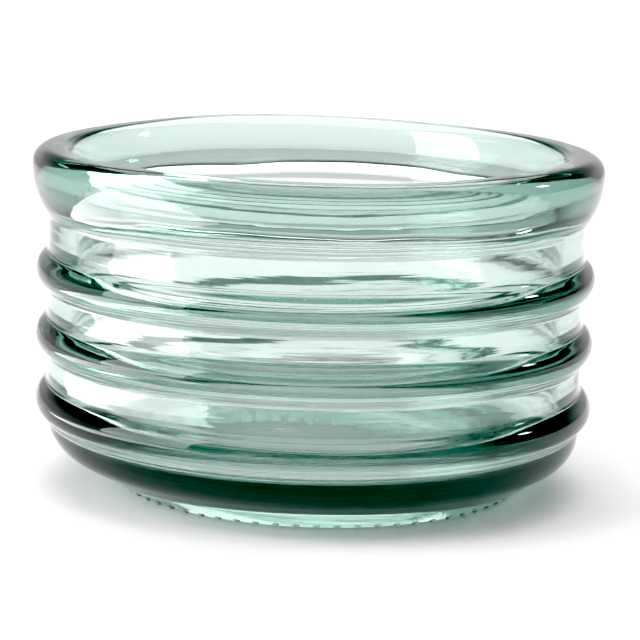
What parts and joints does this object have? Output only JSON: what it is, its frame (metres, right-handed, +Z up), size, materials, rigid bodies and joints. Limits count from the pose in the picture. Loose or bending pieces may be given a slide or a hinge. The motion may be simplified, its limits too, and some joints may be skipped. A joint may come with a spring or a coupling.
{
  "type": "glass insulator cup",
  "caption": "Round open-topped cup of thick pressed glass with a rolled lip, raised rings round the wall, a thick heel and a beaded foot.",
  "frame": {"origin": "centre of the plane the cup stands on", "axes": "+Z up through the mouth; the cup is round about Z, and -Y is the side the view shows"},
  "size_m": [0.114, 0.114, 0.0678],
  "materials": {
    "aqua_glass": "clear pale green glass, fire-polished, slightly wavy, nearly black-green where the path through it is long"
  },
  "bodies": {
    "root": {"side_wall": "aqua_glass", "thick_base": "aqua_glass", "rolled_lip": "aqua_glass", "upper_rib": "aqua_glass", "middle_rib": "aqua_glass", "lower_rib": "aqua_glass", "foot_ring": "aqua_glass", "drip_points": "aqua_glass"}
  },
  "joints": []
}
